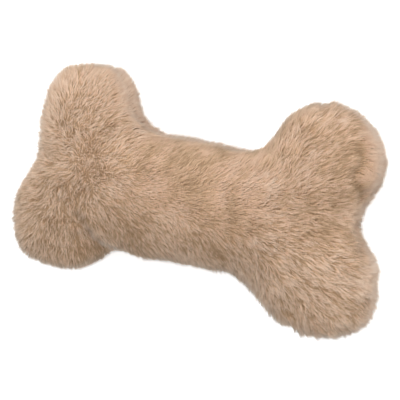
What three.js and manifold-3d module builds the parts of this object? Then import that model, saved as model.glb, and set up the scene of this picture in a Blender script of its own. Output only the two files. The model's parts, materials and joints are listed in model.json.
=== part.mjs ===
// A stuffed plush bone with a squeaker inside, lying on its back panel. Millimetres, +Z up.
// X runs along the bone, Y across it, and the origin is under the middle of its outline.
// Two plush panels are sewn face to face, turned right side out, stuffed through a gap in the
// lower waist seam and closed by hand. The squeaker sits among the filling of the shaft.
import * as THREE from "three";
import { mergeVertices } from "three/addons/utils/BufferGeometryUtils.js";
import Module from "manifold-3d";

const wasm = await Module();
wasm.setup();

// Outline of the toy from the front: four hand-stuffed lobes, the fillets beside them and the waist
const UPPER_RIGHT = { name: "upper_right", x: 62.6, y: 28.2, radius: 30.1, armpit: 19.4 };
const UPPER_LEFT = { name: "upper_left", x: -67.3, y: 28.0, radius: 28.7, armpit: 18.1 };
const LOWER_LEFT = { name: "lower_left", x: -69.9, y: -23.4, radius: 30.1, armpit: 22.0 };
const LOWER_RIGHT = { name: "lower_right", x: 67.8, y: -26.1, radius: 32.2, armpit: 21.5 };
const NOTCH_RADIUS = 12.4;
const WAIST_TOP = 27.4;
const WAIST_BOTTOM = -36.5;

// Swell of the panels above and below the seam, largest where the lobes meet the shaft
const JUNCTION_X = 42;
const FRONT_CROWN = { shaft: 25.5, junction: 27.5, lobe: 25.5 };
const BACK_CROWN = { shaft: 26, junction: 26, lobe: 26 };
const FULLNESS = 2.3; // exponent of the rounded section: 2 is an ellipse, more is fuller
const WIDEST_ANGLE = 12; // where the section reaches the outline, just clear of the pinched seam
const REST_CUT = 0.5; // how deep the back is pressed flat where it lies
const SEAM_Z = BACK_CROWN.shaft - REST_CUT;

// Plush fabric, its seam and its thread
const PLUSH = 5; // backing cloth and the dense lower pile
const LOCK_DEPTH = 2.8; // how far the pile parts between its locks
const LOCK_PITCH = 23; // from the crest of one lock to the next in its row
const SEAM_PINCH = 4; // how deep the sewn line pulls in
const PINCH_SHOULDER = 1.2; // what is left of that pull a little above the seam
const SEAM_ALLOWANCE = 6.5; // width of the sewn margin inside
const MARGIN_THICKNESS = 2;
const MARGIN_ROOT = 7; // inset at which the margin meets the wall
const SEAM_GAP = 0.15; // each panel's clearance to the seam plane
const THREAD_RADIUS = 0.3;
const THREAD_INSET = 8.6;
const CLOSING_LENGTH = 44; // hand-closed stretch of the lower waist seam
const CLOSING_PITCH = 6;
const CLOSING_SWING = 0.7;
const CLOSING_INSET = 3.0;

// Filling
const FILL_GAP = 0.6; // filling to plush
const WAD_GAP = 0.4; // wad to wad
const SHAFT_WAD_REACH = 38;
const SHAFT_WAD_BULGE = 16;

// Squeaker: a welded two-part bladder with a reed in its neck, its weld on the seam plane
const SQUEAKER_X = 0;
const SQUEAKER_Y = (WAIST_TOP + WAIST_BOTTOM) / 2;
const BLADDER = { radius: 16, height: 11.5, wall: 1, corner: 5, flange: 18.5, flangeHalf: 0.75, neck: 5.8 };
const PLUG = { radius: 5.5, bore: 4.2, top: -1.5, lip: 7.2, lipHeight: 1.1, barb: 6.4, barbHeight: 1.2 };
const SNAP_GAP = 0.3; // plug to bladder wall
const REED = { bedRadius: 3.9, split: 0.25, width: 5.6, thickness: 0.35, length: 10, lift: 0.05 };
const REED_RECESS = 0.5; // bed and clip below the plug's ends
const REED_CHANNEL = { width: 2.4, depth: 1.8 };
const REED_CLIP_HEIGHT = 1.7;
const REED_CLIP_FROM = 0.7;

// Facets
const NOTCH_STEPS = 4;
const LOBE_STEPS = 10;
const ARMPIT_STEPS = 4;
const STRAIGHT_STEPS = 4;
const THREAD_SIDES = 5;
const ROUND_STEPS = 28;
const BEYOND = 80; // reach of a cutting body past the toy

const PLUSH_COLOUR = 0xbd9f86;
const BACKING_COLOUR = 0xc9b399;
const THREAD_COLOUR = 0xb59a80;
const FILL_COLOUR = 0xf1f0ec;
const BLADDER_COLOUR = 0xf4f4f2;
const REED_COLOUR = 0xfbfbf7;

const rad = THREE.MathUtils.degToRad;
const SHAFT_Y = SQUEAKER_Y;

// Outline geometry

function heading(from, to) {
  return Math.atan2(to.y - from.y, to.x - from.x);
}

// Centre of the circle in an end's notch that touches both of its lobes from outside
function notchCentre(upper, lower) {
  const toUpper = upper.radius + NOTCH_RADIUS;
  const toLower = lower.radius + NOTCH_RADIUS;
  const apart = Math.hypot(lower.x - upper.x, lower.y - upper.y);
  const along = (toUpper ** 2 - toLower ** 2 + apart ** 2) / (2 * apart);
  const aside = Math.sqrt(toUpper ** 2 - along ** 2);
  const ux = (lower.x - upper.x) / apart;
  const uy = (lower.y - upper.y) / apart;
  const outward = Math.sign(upper.x) * Math.sign(-uy);
  return { x: upper.x + ux * along - uy * aside * outward, y: upper.y + uy * along + ux * aside * outward };
}

// Centre of the fillet between a lobe and the straight waist on its side
function armpitCentre(lobe) {
  const side = Math.sign(lobe.y);
  const y = (side > 0 ? WAIST_TOP : WAIST_BOTTOM) + side * lobe.armpit;
  const across = Math.sqrt((lobe.radius + lobe.armpit) ** 2 - (y - lobe.y) ** 2);
  return { x: lobe.x - Math.sign(lobe.x) * across, y };
}

const RIGHT_NOTCH = notchCentre(UPPER_RIGHT, LOWER_RIGHT);
const LEFT_NOTCH = notchCentre(UPPER_LEFT, LOWER_LEFT);

// Where the straight of the spine ends, the same for both lobes of an end
function shaftEnd(lobe) {
  const [upper, lower] = lobe.x > 0 ? [UPPER_RIGHT, LOWER_RIGHT] : [UPPER_LEFT, LOWER_LEFT];
  return (armpitCentre(upper).x + armpitCentre(lower).x) / 2;
}

function blendAnchors(a, b, t) {
  const at = (key) => a[key] + (b[key] - a[key]) * t;
  return { x: at("x"), y: at("y"), crown: at("crown") };
}

// The outline, anticlockwise, moved inwards by an inset. Each sample also has its anchor: the point
// of the bone's Y-ended spine that it swells from, with the height of the crown there.
function outline(inset, crown, lobeSteps = LOBE_STEPS) {
  const samples = [];
  const push = (points, anchorAt) => {
    const steps = points.length - 1;
    points.slice(0, steps).forEach((point, i) => samples.push({ point, anchor: anchorAt(i / steps) }));
  };
  const arc = (centre, radius, from, to, clockwise, steps) =>
    new THREE.EllipseCurve(centre.x, centre.y, radius, radius, from, to, clockwise).getPoints(steps);
  const lobeAnchor = (lobe) => ({ x: lobe.x, y: lobe.y, crown: crown.lobe });
  const junction = (lobe) => ({ x: Math.sign(lobe.x) * JUNCTION_X, y: SHAFT_Y / 2, crown: crown.junction });
  const shaftAnchor = (lobe) => ({ x: shaftEnd(lobe), y: SHAFT_Y, crown: crown.shaft });

  const addNotch = (centre, from, to) =>
    push(
      arc(centre, NOTCH_RADIUS + inset, heading(centre, from), heading(centre, to), true, NOTCH_STEPS),
      (t) =>
        t < 0.5
          ? blendAnchors(lobeAnchor(from), junction(from), 2 * t)
          : blendAnchors(junction(to), lobeAnchor(to), 2 * t - 1),
    );
  const addLobe = (lobe, from, to) =>
    push(arc(lobe, lobe.radius - inset, heading(lobe, from), heading(lobe, to), false, lobeSteps), () =>
      lobeAnchor(lobe),
    );
  const armpitAnchor = (lobe, t) =>
    t < 0.5
      ? blendAnchors(lobeAnchor(lobe), junction(lobe), 2 * t)
      : blendAnchors(junction(lobe), shaftAnchor(lobe), 2 * t - 1);
  const addArmpit = (lobe, towardsShaft) => {
    const centre = armpitCentre(lobe);
    const square = -Math.sign(lobe.y) * rad(90);
    const lobeSide = heading(centre, lobe);
    const from = towardsShaft ? lobeSide : square;
    const to = towardsShaft ? square : lobeSide;
    push(arc(centre, lobe.armpit + inset, from, to, true, ARMPIT_STEPS), (t) =>
      armpitAnchor(lobe, towardsShaft ? t : 1 - t),
    );
  };
  const addWaist = (from, to) => {
    const y = (from.y > 0 ? WAIST_TOP : WAIST_BOTTOM) - Math.sign(from.y) * inset;
    const start = new THREE.Vector2(armpitCentre(from).x, y);
    const end = new THREE.Vector2(armpitCentre(to).x, y);
    push(new THREE.LineCurve(start, end).getPoints(STRAIGHT_STEPS), (t) =>
      blendAnchors(shaftAnchor(from), shaftAnchor(to), t),
    );
  };

  addNotch(RIGHT_NOTCH, LOWER_RIGHT, UPPER_RIGHT);
  addLobe(UPPER_RIGHT, RIGHT_NOTCH, armpitCentre(UPPER_RIGHT));
  addArmpit(UPPER_RIGHT, true);
  addWaist(UPPER_RIGHT, UPPER_LEFT);
  addArmpit(UPPER_LEFT, false);
  addLobe(UPPER_LEFT, armpitCentre(UPPER_LEFT), LEFT_NOTCH);
  addNotch(LEFT_NOTCH, UPPER_LEFT, LOWER_LEFT);
  addLobe(LOWER_LEFT, LEFT_NOTCH, armpitCentre(LOWER_LEFT));
  addArmpit(LOWER_LEFT, true);
  addWaist(LOWER_LEFT, LOWER_RIGHT);
  addArmpit(LOWER_RIGHT, false);
  addLobe(LOWER_RIGHT, armpitCentre(LOWER_RIGHT), RIGHT_NOTCH);
  return samples;
}

// Rings and lofts

// A ring of the swelling form at an angle above the seam plane (side 1) or below it (side -1)
function swellRing(side, angle, inset, drop, lobeSteps) {
  const crown = side > 0 ? FRONT_CROWN : BACK_CROWN;
  const across = Math.min(1, Math.cos(rad(angle)) / Math.cos(rad(WIDEST_ANGLE))) ** (2 / FULLNESS);
  const up = Math.sin(rad(angle)) ** (2 / FULLNESS);
  return outline(inset, crown, lobeSteps).map(
    ({ point, anchor }) =>
      new THREE.Vector3(
        anchor.x + (point.x - anchor.x) * across,
        anchor.y + (point.y - anchor.y) * across,
        SEAM_Z + side * (anchor.crown - drop) * up,
      ),
  );
}

// A ring of the outline, inset, at one height
function flatRing(z, inset, lobeSteps) {
  return outline(inset, BACK_CROWN, lobeSteps).map(({ point }) => new THREE.Vector3(point.x, point.y, z));
}

// Skins rings of equal count, which run anticlockwise and start from the top of the skin. At its first
// and last ring the loft has a cap, or closes on the spine, whose points both sides of the ring share.
// A joined loft is a tube instead, whose last ring meets its first.
function loft(rings, { first = "cap", last = "cap", joined = false, flip = false } = {}) {
  const count = rings[0].length;
  const positions = rings.flat().flatMap((p) => p.toArray());
  const triangles = [];
  const bands = joined ? rings.length : rings.length - 1;
  for (let k = 0; k < bands; k++) {
    const here = k * count;
    const next = ((k + 1) % rings.length) * count;
    for (let i = 0; i < count; i++) {
      const j = (i + 1) % count;
      triangles.push([here + i, next + i, next + j], [here + i, next + j, here + j]);
    }
  }
  const capOf = (ring) => THREE.ShapeUtils.triangulateShape(ring.map((p) => new THREE.Vector2(p.x, p.y)), []);
  if (first === "cap" && !joined) triangles.push(...capOf(rings[0]));
  if (last === "cap" && !joined) {
    const from = (rings.length - 1) * count;
    triangles.push(...capOf(rings.at(-1)).map(([a, b, c]) => [from + a, from + c, from + b]));
  }
  const index = triangles.flatMap(([a, b, c]) => (flip ? [a, c, b] : [a, b, c]));
  const geometry = new THREE.BufferGeometry();
  geometry.setAttribute("position", new THREE.Float32BufferAttribute(positions, 3));
  geometry.setIndex(index);
  return weld(geometry);
}

// Merges the points that coincide and drops the triangles that they empty
function weld(geometry) {
  const merged = mergeVertices(geometry, 1e-3);
  const old = merged.index.array;
  const kept = [];
  for (let i = 0; i < old.length; i += 3) {
    const [a, b, c] = old.slice(i, i + 3);
    if (a !== b && b !== c && c !== a) kept.push(a, b, c);
  }
  merged.setIndex(kept);
  return merged;
}

// Solids for cutting and joining

function toSolid(geometry) {
  const bare = geometry.clone();
  bare.deleteAttribute("normal");
  bare.deleteAttribute("uv");
  const merged = mergeVertices(bare, 1e-4);
  return new wasm.Manifold(
    new wasm.Mesh({
      numProp: 3,
      vertProperties: merged.attributes.position.array,
      triVerts: new Uint32Array(merged.index.array),
    }),
  );
}

function toGeometry(solid) {
  const mesh = solid.getMesh();
  const geometry = new THREE.BufferGeometry();
  geometry.setAttribute("position", new THREE.BufferAttribute(mesh.vertProperties, 3));
  geometry.setIndex(new THREE.BufferAttribute(mesh.triVerts, 1));
  return geometry;
}

function boxSolid(low, high) {
  const size = high.map((value, i) => value - low[i]);
  const box = new THREE.BoxGeometry(...size);
  box.translate(...low.map((value, i) => value + size[i] / 2));
  return toSolid(box);
}

// A body turned about the vertical through the squeaker, from [radius, height above the seam] pairs
function turned(profile) {
  const points = profile.map(([r, z]) => new THREE.Vector2(r, z));
  const geometry = new THREE.LatheGeometry(points, ROUND_STEPS);
  geometry.rotateX(rad(90));
  geometry.translate(SQUEAKER_X, SQUEAKER_Y, SEAM_Z);
  return toSolid(geometry);
}

// Plush panels

const REST_ANGLE = THREE.MathUtils.radToDeg(Math.asin((1 - REST_CUT / BACK_CROWN.shaft) ** (FULLNESS / 2)));
const FRONT_ANGLES = [90, 73, 57, 41, 26, WIDEST_ANGLE];
const BACK_ANGLES = [REST_ANGLE, 57, 41, 26, WIDEST_ANGLE];
const SHOULDER_ANGLE = 5;

// A ring of the pile, which gathers in locks: they crest on the swelling form, with partings between
function lockRing(side, angle) {
  const crests = swellRing(side, angle, 0, 0);
  const partings = swellRing(side, angle, LOCK_DEPTH, LOCK_DEPTH);
  const wave = (length) => Math.sin((length / LOCK_PITCH) * rad(360));
  return crests.map(({ x, y, z }, i) => {
    const rise = wave(x + y / 2) * wave(y + z - x / 3);
    return new THREE.Vector3(x, y, z).lerp(partings[i], (1 - rise) / 2);
  });
}

// One panel: down its outside to the pinched seam, in along the sewn margin, and back up its inside.
// The outside is smooth along the crown, or where the back lies, and where it is widest.
function panel(side) {
  const angles = side > 0 ? FRONT_ANGLES : BACK_ANGLES;
  const at = (height) => SEAM_Z + side * height;
  const crown = swellRing(side, angles[0], 0, 0);
  const locks = angles.slice(1, -1).map((angle) => lockRing(side, angle));
  const outside = [crown, ...locks, swellRing(side, WIDEST_ANGLE, 0, 0)];
  const shoulder = swellRing(side, SHOULDER_ANGLE, PINCH_SHOULDER, 0);
  const sewnLine = flatRing(at(SEAM_GAP), SEAM_PINCH);
  const marginEdge = flatRing(at(SEAM_GAP), SEAM_PINCH + SEAM_ALLOWANCE);
  const marginBack = flatRing(at(SEAM_GAP + MARGIN_THICKNESS), SEAM_PINCH + SEAM_ALLOWANCE);
  const marginRoot = flatRing(at(SEAM_GAP + MARGIN_THICKNESS), MARGIN_ROOT);
  const innerShoulder = swellRing(side, SHOULDER_ANGLE, PLUSH + PINCH_SHOULDER, PLUSH);
  const inside = angles.toReversed().map((angle) => swellRing(side, angle, PLUSH, PLUSH));
  return loft(
    [...outside, shoulder, sewnLine, marginEdge, marginBack, marginRoot, innerShoulder, ...inside],
    side > 0 ? { first: "spine", last: "spine" } : { flip: true },
  );
}

// Threads

// The machine-sewn thread that runs round one face of the sewn margin
function seamThread(side) {
  const height = SEAM_GAP + MARGIN_THICKNESS + SEAM_GAP + THREAD_RADIUS;
  const rings = [];
  for (let k = 0; k < THREAD_SIDES; k++) {
    const turn = (k / THREAD_SIDES) * rad(360);
    const inset = THREAD_INSET + THREAD_RADIUS * Math.cos(turn);
    rings.push(flatRing(SEAM_Z + side * height + THREAD_RADIUS * Math.sin(turn), inset));
  }
  return loft(rings, { joined: true });
}

// A fine tube along a curve
function threadAlong(curve, steps) {
  const section = new THREE.Shape(
    Array.from({ length: THREAD_SIDES }, (_, k) => {
      const turn = (k / THREAD_SIDES) * rad(360);
      return new THREE.Vector2(THREAD_RADIUS * Math.cos(turn), THREAD_RADIUS * Math.sin(turn));
    }),
  );
  return new THREE.ExtrudeGeometry(section, { steps, extrudePath: curve, bevelEnabled: false });
}

// The hand stitch that closes the stuffing gap, swinging from panel to panel in the pinched seam
function closingStitch() {
  const waves = CLOSING_LENGTH / CLOSING_PITCH;
  const stepsPerWave = 8;
  const count = Math.round(waves * stepsPerWave);
  const middle = (armpitCentre(LOWER_LEFT).x + armpitCentre(LOWER_RIGHT).x) / 2;
  const points = Array.from({ length: count + 1 }, (_, i) => {
    const along = i / count;
    return new THREE.Vector3(
      middle + CLOSING_LENGTH * (along - 0.5),
      WAIST_BOTTOM + CLOSING_INSET,
      SEAM_Z + CLOSING_SWING * Math.sin(along * waves * rad(360)),
    );
  });
  return threadAlong(new THREE.CatmullRomCurve3(points), count);
}

// Squeaker

// Half of the bladder: a round-cornered cup with a flat weld flange at its mouth, and a neck hole
// in the half that holds the reed
function bladderHalf(side, neck) {
  const { radius, height, wall, corner, flange, flangeHalf } = BLADDER;
  const bend = (r, n) =>
    Array.from({ length: n + 1 }, (_, i) => {
      const turn = rad(90) * (1 - i / n);
      return [radius - corner + r * Math.cos(turn), height - corner + r * Math.sin(turn)];
    });
  const outside = [[neck, height], ...bend(corner, 4), [radius, flangeHalf], [flange, flangeHalf]];
  const inside = [[neck, height - wall], ...bend(corner - wall, 4)].reverse();
  const mouth = [[flange, SEAM_GAP], [radius - wall, SEAM_GAP]];
  const loop = [...outside, ...mouth, ...inside];
  const closed = neck > 0 ? [...loop, loop[0]] : loop;
  const placed = closed.map(([r, z]) => [r, side * z]);
  return turned(side > 0 ? placed.reverse() : placed);
}

// Heights of the plug and the reed, from the seam plane
const LIP_TOP = -BLADDER.height - SNAP_GAP;
const PLUG_BOTTOM = LIP_TOP - PLUG.lipHeight;
const BARB_BOTTOM = -BLADDER.height + BLADDER.wall + SNAP_GAP;
const REED_BOTTOM = PLUG_BOTTOM + REED_RECESS;
const REED_TOP = PLUG.top - REED_RECESS;

// The reed's holder, snapped into the neck: a lip outside the bladder wall and a barb inside it
function reedPlug() {
  const { radius, bore, top, lip, barb, barbHeight } = PLUG;
  return turned([
    [bore, PLUG_BOTTOM],
    [lip, PLUG_BOTTOM],
    [lip, LIP_TOP],
    [radius, LIP_TOP],
    [radius, BARB_BOTTOM],
    [barb, BARB_BOTTOM],
    [radius, BARB_BOTTOM + barbHeight],
    [radius, top],
    [bore, top],
    [bore, PLUG_BOTTOM],
  ]);
}

// A round core that fills the plug's bore between two heights, cut to one side of the reed
function boreCore(bottom, top, low, high) {
  const core = turned([
    [0, bottom],
    [REED.bedRadius, bottom],
    [REED.bedRadius, top],
    [0, top],
  ]);
  const x = SQUEAKER_X;
  return core.intersect(
    boxSolid(
      [x - BEYOND, SQUEAKER_Y + low, SEAM_Z + bottom - 1],
      [x + BEYOND, SQUEAKER_Y + high, SEAM_Z + top + 1],
    ),
  );
}

// The bed that the tongue beats on, with the air channel under the tongue
function reedBed() {
  const bed = boreCore(REED_BOTTOM, REED_TOP, -BEYOND, -REED.split);
  const { width, depth } = REED_CHANNEL;
  const channel = boxSolid(
    [SQUEAKER_X - width / 2, SQUEAKER_Y - REED.split - depth, SEAM_Z + REED_BOTTOM + REED_CLIP_HEIGHT],
    [SQUEAKER_X + width / 2, SQUEAKER_Y, SEAM_Z + REED_TOP + 1],
  );
  return bed.subtract(channel);
}

function reedTongue() {
  const bottom = SEAM_Z + REED_BOTTOM + SNAP_GAP;
  const front = SQUEAKER_Y + REED.lift;
  const half = REED.width / 2;
  return boxSolid(
    [SQUEAKER_X - half, front, bottom],
    [SQUEAKER_X + half, front + REED.thickness, bottom + REED.length],
  );
}

function reedClip() {
  return boreCore(REED_BOTTOM, REED_BOTTOM + REED_CLIP_HEIGHT, REED_CLIP_FROM, BEYOND);
}

// Filling

// The whole cavity between the panels, less the clearances: out to the plush above and below the
// seam, and in to the edge of the sewn margin beside it
function cavity() {
  const drop = PLUSH + FILL_GAP;
  const lobeSteps = 6;
  const marginClear = SEAM_PINCH + SEAM_ALLOWANCE + FILL_GAP;
  const stepHeight = SEAM_GAP + MARGIN_THICKNESS + SEAM_GAP + 2 * THREAD_RADIUS + FILL_GAP;
  const half = (side) => {
    const angles = side > 0 ? FRONT_ANGLES : BACK_ANGLES;
    const swell = angles.map((angle) => swellRing(side, angle, drop, drop, lobeSteps));
    const foot = flatRing(SEAM_Z + side * (stepHeight + FILL_GAP), drop + 2 * PINCH_SHOULDER, lobeSteps);
    return [...swell, foot, flatRing(SEAM_Z + side * stepHeight, marginClear, lobeSteps)];
  };
  return toSolid(loft([...half(1), ...half(-1).reverse()], { first: "spine" }));
}

// A barrel-ended block across the shaft, wider by a growth: what the shaft's wads fill
function shaftBlock(growth) {
  const reach = SHAFT_WAD_REACH + growth;
  const shape = new THREE.Shape();
  shape.moveTo(-reach, -BEYOND);
  shape.lineTo(reach, -BEYOND);
  shape.quadraticCurveTo(reach + SHAFT_WAD_BULGE, SHAFT_Y, reach, BEYOND);
  shape.lineTo(-reach, BEYOND);
  shape.quadraticCurveTo(-reach - SHAFT_WAD_BULGE, SHAFT_Y, -reach, -BEYOND);
  const options = { depth: 2 * SEAM_Z + BEYOND, bevelEnabled: false, curveSegments: 8 };
  return toSolid(new THREE.ExtrudeGeometry(shape, options));
}

// Room for the squeaker, its weld flange and the plug under it
function squeakerRoom() {
  const radius = BLADDER.radius + WAD_GAP;
  const tall = BLADDER.height + WAD_GAP;
  const flangeTop = BLADDER.flangeHalf + WAD_GAP;
  const flange = BLADDER.flange + WAD_GAP;
  const bevel = BLADDER.corner / 2;
  const plugBottom = PLUG_BOTTOM - WAD_GAP;
  return turned([
    [0, plugBottom],
    [PLUG.lip + WAD_GAP, plugBottom],
    [PLUG.lip + WAD_GAP, -tall],
    [radius - bevel, -tall],
    [radius, -tall + bevel],
    [radius, -flangeTop],
    [flange, -flangeTop],
    [flange, flangeTop],
    [radius, flangeTop],
    [radius, tall - bevel],
    [radius - bevel, tall],
    [0, tall],
  ]);
}

const CAVITY = cavity();
const SHAFT_FILL = CAVITY.intersect(shaftBlock(0)).subtract(squeakerRoom());

function shaftWad(side) {
  const low = side > 0 ? SEAM_Z + WAD_GAP / 2 : 0;
  const high = side > 0 ? BEYOND : SEAM_Z - WAD_GAP / 2;
  return SHAFT_FILL.intersect(boxSolid([-BEYOND, -BEYOND, low], [BEYOND, BEYOND, high]));
}

// The wad pushed into one lobe, up to the shaft's wads and to the wad of the other lobe
function lobeWad(lobe, notch) {
  const right = lobe.x > 0;
  const upper = lobe.y > 0;
  const split = notch.y + (upper ? WAD_GAP / 2 : -WAD_GAP / 2);
  const reach = 2 * BEYOND;
  const corner = boxSolid(
    [right ? 0 : -reach, upper ? split : -reach, -BEYOND],
    [right ? reach : 0, upper ? reach : split, BEYOND],
  );
  return CAVITY.subtract(shaftBlock(WAD_GAP)).intersect(corner);
}

// Assembly

const toy = new THREE.Group();

function add(name, geometry, color, roughness) {
  const material = new THREE.MeshStandardMaterial({ color, roughness, metalness: 0 });
  const mesh = new THREE.Mesh(geometry, material);
  mesh.name = name;
  toy.add(mesh);
}

add("front_panel", panel(1), PLUSH_COLOUR, 0.95);
add("back_panel", panel(-1), BACKING_COLOUR, 0.95);
add("seam_needle_thread", seamThread(1), THREAD_COLOUR, 0.7);
add("seam_bobbin_thread", seamThread(-1), THREAD_COLOUR, 0.7);
add("closing_stitch", closingStitch(), THREAD_COLOUR, 0.7);

add("fill_shaft_front", toGeometry(shaftWad(1)), FILL_COLOUR, 1);
add("fill_shaft_back", toGeometry(shaftWad(-1)), FILL_COLOUR, 1);
for (const lobe of [UPPER_RIGHT, UPPER_LEFT, LOWER_LEFT, LOWER_RIGHT]) {
  const notch = lobe.x > 0 ? RIGHT_NOTCH : LEFT_NOTCH;
  add("fill_lobe_" + lobe.name, toGeometry(lobeWad(lobe, notch)), FILL_COLOUR, 1);
}

add("squeaker_bladder_top", toGeometry(bladderHalf(1, 0)), BLADDER_COLOUR, 0.4);
add("squeaker_bladder_bottom", toGeometry(bladderHalf(-1, BLADDER.neck)), BLADDER_COLOUR, 0.4);
add("reed_plug", toGeometry(reedPlug()), REED_COLOUR, 0.35);
add("reed_bed", toGeometry(reedBed()), REED_COLOUR, 0.35);
add("reed_tongue", toGeometry(reedTongue()), REED_COLOUR, 0.3);
add("reed_clip", toGeometry(reedClip()), REED_COLOUR, 0.35);

export default toy;
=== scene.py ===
# %% [markdown]
# # A plush bone with a squeaker inside
# The toy is two bone-shaped panels of beige faux fur, sewn face to face, turned and stuffed, with an air
# bladder and a reed in the middle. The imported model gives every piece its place, so it is loaded first and
# never moved. Everything that follows dresses it: the swollen covers, the pile, the stuffing and the
# squeaker.

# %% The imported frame
import json
import math
import random

import bmesh
import bpy
import numpy as np
from mathutils import Matrix, Vector, noise

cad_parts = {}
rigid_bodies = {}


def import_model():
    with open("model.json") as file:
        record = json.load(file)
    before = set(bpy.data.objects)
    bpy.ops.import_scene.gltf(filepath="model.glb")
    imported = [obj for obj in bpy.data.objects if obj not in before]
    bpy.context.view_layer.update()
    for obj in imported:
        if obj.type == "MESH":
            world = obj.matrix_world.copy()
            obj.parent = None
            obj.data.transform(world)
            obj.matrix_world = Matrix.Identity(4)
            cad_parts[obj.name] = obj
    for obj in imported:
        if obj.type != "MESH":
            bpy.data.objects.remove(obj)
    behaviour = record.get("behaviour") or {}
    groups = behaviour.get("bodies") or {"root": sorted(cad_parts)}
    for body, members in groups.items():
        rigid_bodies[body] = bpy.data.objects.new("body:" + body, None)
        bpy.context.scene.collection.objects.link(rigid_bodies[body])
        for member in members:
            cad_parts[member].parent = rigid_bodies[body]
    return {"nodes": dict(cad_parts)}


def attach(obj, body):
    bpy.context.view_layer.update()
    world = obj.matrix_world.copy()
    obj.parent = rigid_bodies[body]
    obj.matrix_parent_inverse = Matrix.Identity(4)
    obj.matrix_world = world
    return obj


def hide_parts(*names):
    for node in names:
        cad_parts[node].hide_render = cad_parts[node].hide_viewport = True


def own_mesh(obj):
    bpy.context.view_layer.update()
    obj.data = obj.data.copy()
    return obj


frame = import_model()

scene = bpy.context.scene
scene.view_settings.view_transform = "Standard"
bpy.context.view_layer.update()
MM = 0.001

# %% [markdown]
# ## The camera
# The photograph looks down on the toy's front, a little from the right and a little from above its long axis,
# with the right end lower in the picture. A camera can be placed by rotation angles, but here its three axes
# are written as vectors: one towards the lens, one to the right of the picture and one up, then a roll.

# %% Camera
FRAME_PIXELS = 400
FOCAL_PIXELS = 1309
SENSOR = 36
NEAREST_SIGHT = 0.01
TOWARDS_LENS = Vector((0.36, 0.08, 0.9295)).normalized()
CAMERA_DISTANCE = 0.670
CAMERA_ROLL = math.radians(10.27)
SIGHT_POINT = Vector((-1.85, -2.05, 25.5)) * MM
SIGHT_SHIFT = (2.43 * MM, -0.70 * MM)


def photo_axes():
    """The picture's right and up directions, after the roll."""
    level = Vector((0, 1, 0)).cross(TOWARDS_LENS).normalized()
    upright = TOWARDS_LENS.cross(level)
    right = level * math.cos(CAMERA_ROLL) + upright * math.sin(CAMERA_ROLL)
    return right, TOWARDS_LENS.cross(right)


picture_right, picture_up = photo_axes()
sight = SIGHT_POINT + picture_right * SIGHT_SHIFT[0] + picture_up * SIGHT_SHIFT[1]
camera_data = bpy.data.cameras.new("photo_camera")
camera_data.sensor_width = SENSOR
camera_data.lens = FOCAL_PIXELS / FRAME_PIXELS * SENSOR
camera_data.clip_start = NEAREST_SIGHT
camera = bpy.data.objects.new("photo_camera", camera_data)
scene.collection.objects.link(camera)
turn = Matrix((picture_right, picture_up, TOWARDS_LENS)).transposed().to_4x4()
camera.matrix_world = Matrix.Translation(sight + TOWARDS_LENS * CAMERA_DISTANCE) @ turn
scene.camera = camera
print("camera: lens", round(camera_data.lens, 1), "mm")

# %% [markdown]
# ## Helpers for soft pieces
# Soft pieces start from a merged copy of their CAD solid, so they sit in the space that it holds. A voxel
# remesh turns the copy into even quads, which stretch well in a cloth simulation. Modifiers are applied by
# asking Blender for the evaluated mesh, which needs no selection and no operator context.

# %% Copy, freeze and link
MERGE_DISTANCE = 1e-6


def link(name, mesh):
    """A new object for a mesh, at the origin of the frame."""
    piece = bpy.data.objects.new(name, mesh)
    scene.collection.objects.link(piece)
    return piece


def cad_copy(name, *nodes):
    """One object that holds merged copies of CAD solids."""
    bm = bmesh.new()
    for node_name in nodes:
        bm.from_mesh(frame["nodes"][node_name].data)
    bmesh.ops.remove_doubles(bm, verts=bm.verts, dist=MERGE_DISTANCE)
    mesh = bpy.data.meshes.new(name)
    bm.to_mesh(mesh)
    bm.free()
    return link(name, mesh)


def freeze(piece):
    """Applies a piece's modifiers to its mesh."""
    evaluated = piece.evaluated_get(bpy.context.evaluated_depsgraph_get())
    mesh = bpy.data.meshes.new_from_object(evaluated)
    mesh.name = piece.name
    piece.modifiers.clear()
    piece.data = mesh


def voxel_remesh(piece, voxel):
    """Rebuilds a piece as one skin of even quads."""
    remesh = piece.modifiers.new("voxels", "REMESH")
    remesh.mode = "VOXEL"
    remesh.voxel_size = voxel
    freeze(piece)


print("helpers for meshes ready")

# %% [markdown]
# ## Moving points
# Most soft forms here are made by moving the points of an even mesh a little way along their normals. A
# Displace modifier could do that from a texture, but these moves follow written places, so a function gives
# each point its step. Smoothing and one level of subdivision take out what is left of the voxels.

# %% Move, smooth and refine
EVEN_OUT = 0.5
SMOOTHING_LEVEL = 1


def edit(piece):
    """A bmesh of a piece, for the operators."""
    bm = bmesh.new()
    bm.from_mesh(piece.data)
    bm.verts.ensure_lookup_table()
    return bm


def finish_edit(piece, bm):
    """Writes a bmesh back to its piece, smooth shaded."""
    bm.normal_update()
    for face in bm.faces:
        face.smooth = True
    bm.to_mesh(piece.data)
    bm.free()
    piece.data.update()


def relax(bm, verts, factor=EVEN_OUT):
    """Draws points towards the middle of their neighbours."""
    bmesh.ops.smooth_vert(
        bm, verts=verts, factor=factor, use_axis_x=True, use_axis_y=True, use_axis_z=True
    )


def displace(bm, step):
    """Moves every point by its own step."""
    bm.normal_update()
    for vert in bm.verts:
        vert.co += step(vert)


def refine(piece):
    """Subdivides a piece smoothly."""
    smoothing = piece.modifiers.new("refine", "SUBSURF")
    smoothing.levels = SMOOTHING_LEVEL
    smoothing.render_levels = SMOOTHING_LEVEL
    freeze(piece)


print("helpers for points ready")

# %% [markdown]
# ## The bone as one skin
# On the real toy the fur fabric is blown tight by its stuffing and held back along the seam. A simulation
# gives that form better than hand-placed points. It needs a start: the two panels and all that they hold,
# remeshed together, of which only the outer skin is kept. That skin is drawn in a little, to leave room for
# the pile.

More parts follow.
